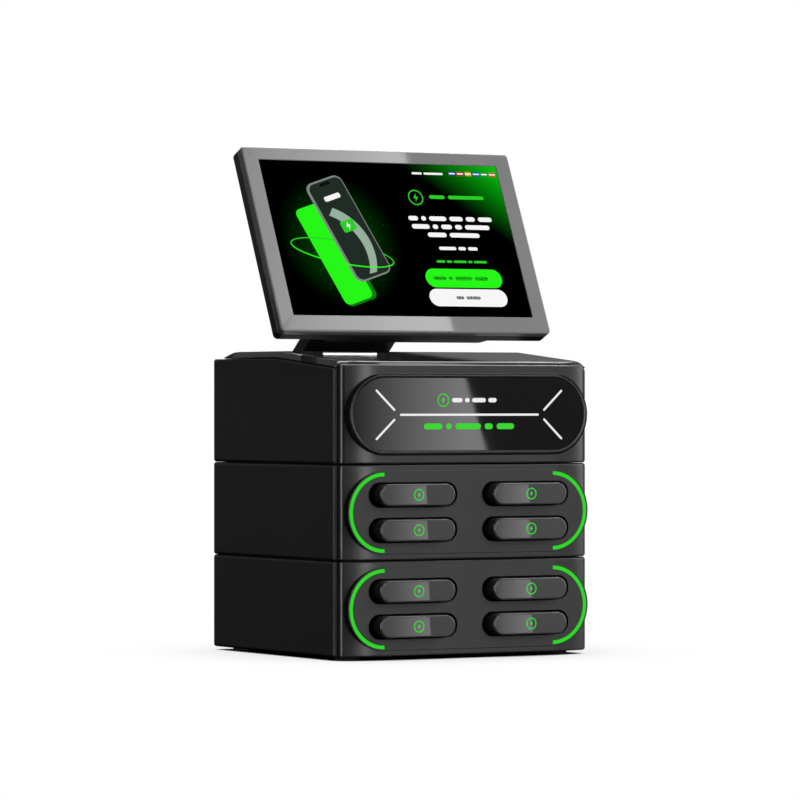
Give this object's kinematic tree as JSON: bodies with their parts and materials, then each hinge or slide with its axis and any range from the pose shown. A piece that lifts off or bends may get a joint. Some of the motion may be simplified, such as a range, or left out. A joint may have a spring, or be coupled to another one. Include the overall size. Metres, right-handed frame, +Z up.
{
  "type": "phone charging kiosk",
  "caption": "Stackable power bank rental kiosk: slot modules with sliding power banks and light arcs, a control module, a sloped lid and a tilting display on a leaning neck.",
  "frame": {"origin": "middle of the bounding box on the plane the feet stand on", "axes": "+Z up, +Y to the rear, +X to the right seen from the front"},
  "size_m": [0.247, 0.222, 0.4003],
  "materials": {
    "housing": "satin moulded",
    "front_panel": "satin painted",
    "lid": "gloss painted",
    "rim": "satin",
    "status_glass": "dark gloss acrylic",
    "screen_glass": "polished cover sheet",
    "bezel": "satin painted",
    "bank": "semi-gloss",
    "light_guide": "diffusing",
    "black_plastic": "moulded",
    "foot_rubber": "matte",
    "circuit_board": "solder mask",
    "steel": "zinc plated"
  },
  "bodies": {
    "kiosk": {"antenna": "black_plastic", "cellular_module": "steel", "control_front_panel": "front_panel", "control_shell": "housing", "foot_front_left": "foot_rubber", "foot_front_right": "foot_rubber", "foot_rear_left": "foot_rubber", "foot_rear_right": "foot_rubber", "glass_rim": "rim", "hinge_pin": "steel", "lid": "lid", "lower_contact_board": "circuit_board", "lower_front_panel": "front_panel", "lower_light_left": "light_guide", "lower_light_right": "light_guide", "lower_shell": "housing", "lower_slot_carrier": "black_plastic", "lower_stack_connector": "black_plastic", "main_board": "circuit_board", "main_board_posts": "steel", "middle_contact_board": "circuit_board", "middle_front_panel": "front_panel", "middle_light_left": "light_guide", "middle_light_right": "light_guide", "middle_shell": "housing", "middle_slot_carrier": "black_plastic", "power_inlet": "black_plastic", "power_supply": "steel", "stand_neck": "housing", "status_glass": "status_glass", "switch_frame": "black_plastic", "upper_stack_connector": "black_plastic"},
    "power_bank_1": {"power_bank_1": "bank"},
    "latch_1": {"latch_bolt_1": "steel"},
    "power_bank_2": {"power_bank_2": "bank"},
    "latch_2": {"latch_bolt_2": "steel"},
    "power_bank_3": {"power_bank_3": "bank"},
    "latch_3": {"latch_bolt_3": "steel"},
    "power_bank_4": {"power_bank_4": "bank"},
    "latch_4": {"latch_bolt_4": "steel"},
    "power_bank_5": {"power_bank_5": "bank"},
    "latch_5": {"latch_bolt_5": "steel"},
    "power_bank_6": {"power_bank_6": "bank"},
    "latch_6": {"latch_bolt_6": "steel"},
    "power_bank_7": {"power_bank_7": "bank"},
    "latch_7": {"latch_bolt_7": "steel"},
    "power_bank_8": {"power_bank_8": "bank"},
    "latch_8": {"latch_bolt_8": "steel"},
    "display": {"bracket_screw_1": "steel", "bracket_screw_2": "steel", "bracket_screw_3": "steel", "bracket_screw_4": "steel", "display_back_cover": "housing", "display_board": "circuit_board", "display_frame": "bezel", "display_glass": "screen_glass", "lcd_panel": "black_plastic", "tilt_bracket": "steel"},
    "rocker": {"switch_rocker": "black_plastic"}
  },
  "joints": [
    {"name": "bank_slide_1", "type": "slide", "parent": "kiosk", "child": "power_bank_1", "axis": [0, -1, 0], "range_m": [0, 0.15]},
    {"name": "bank_slide_2", "type": "slide", "parent": "kiosk", "child": "power_bank_2", "axis": [0, -1, 0], "range_m": [0, 0.15]},
    {"name": "bank_slide_3", "type": "slide", "parent": "kiosk", "child": "power_bank_3", "axis": [0, -1, 0], "range_m": [0, 0.15]},
    {"name": "bank_slide_4", "type": "slide", "parent": "kiosk", "child": "power_bank_4", "axis": [0, -1, 0], "range_m": [0, 0.15]},
    {"name": "bank_slide_5", "type": "slide", "parent": "kiosk", "child": "power_bank_5", "axis": [0, -1, 0], "range_m": [0, 0.15]},
    {"name": "bank_slide_6", "type": "slide", "parent": "kiosk", "child": "power_bank_6", "axis": [0, -1, 0], "range_m": [0, 0.15]},
    {"name": "bank_slide_7", "type": "slide", "parent": "kiosk", "child": "power_bank_7", "axis": [0, -1, 0], "range_m": [0, 0.15]},
    {"name": "bank_slide_8", "type": "slide", "parent": "kiosk", "child": "power_bank_8", "axis": [0, -1, 0], "range_m": [0, 0.15]},
    {"name": "latch_slide_1", "type": "slide", "parent": "kiosk", "child": "latch_1", "axis": [1, 0, 0], "range_m": [0, 0.003], "stiffness_N_per_m": 200},
    {"name": "latch_slide_2", "type": "slide", "parent": "kiosk", "child": "latch_2", "axis": [-1, 0, 0], "range_m": [0, 0.003], "stiffness_N_per_m": 200},
    {"name": "latch_slide_3", "type": "slide", "parent": "kiosk", "child": "latch_3", "axis": [1, 0, 0], "range_m": [0, 0.003], "stiffness_N_per_m": 200},
    {"name": "latch_slide_4", "type": "slide", "parent": "kiosk", "child": "latch_4", "axis": [-1, 0, 0], "range_m": [0, 0.003], "stiffness_N_per_m": 200},
    {"name": "latch_slide_5", "type": "slide", "parent": "kiosk", "child": "latch_5", "axis": [1, 0, 0], "range_m": [0, 0.003], "stiffness_N_per_m": 200},
    {"name": "latch_slide_6", "type": "slide", "parent": "kiosk", "child": "latch_6", "axis": [-1, 0, 0], "range_m": [0, 0.003], "stiffness_N_per_m": 200},
    {"name": "latch_slide_7", "type": "slide", "parent": "kiosk", "child": "latch_7", "axis": [1, 0, 0], "range_m": [0, 0.003], "stiffness_N_per_m": 200},
    {"name": "latch_slide_8", "type": "slide", "parent": "kiosk", "child": "latch_8", "axis": [-1, 0, 0], "range_m": [0, 0.003], "stiffness_N_per_m": 200},
    {"name": "display_tilt", "type": "hinge", "parent": "kiosk", "child": "display", "pos_m": [0, 0.04095, 0.287], "axis": [1, 0, 0], "range_deg": [-20, 6]},
    {"name": "rocker_tip", "type": "hinge", "parent": "kiosk", "child": "rocker", "pos_m": [0.092, 0.10515, 0.1805], "axis": [1, 0, 0], "range_deg": [0, 14]}
  ]
}
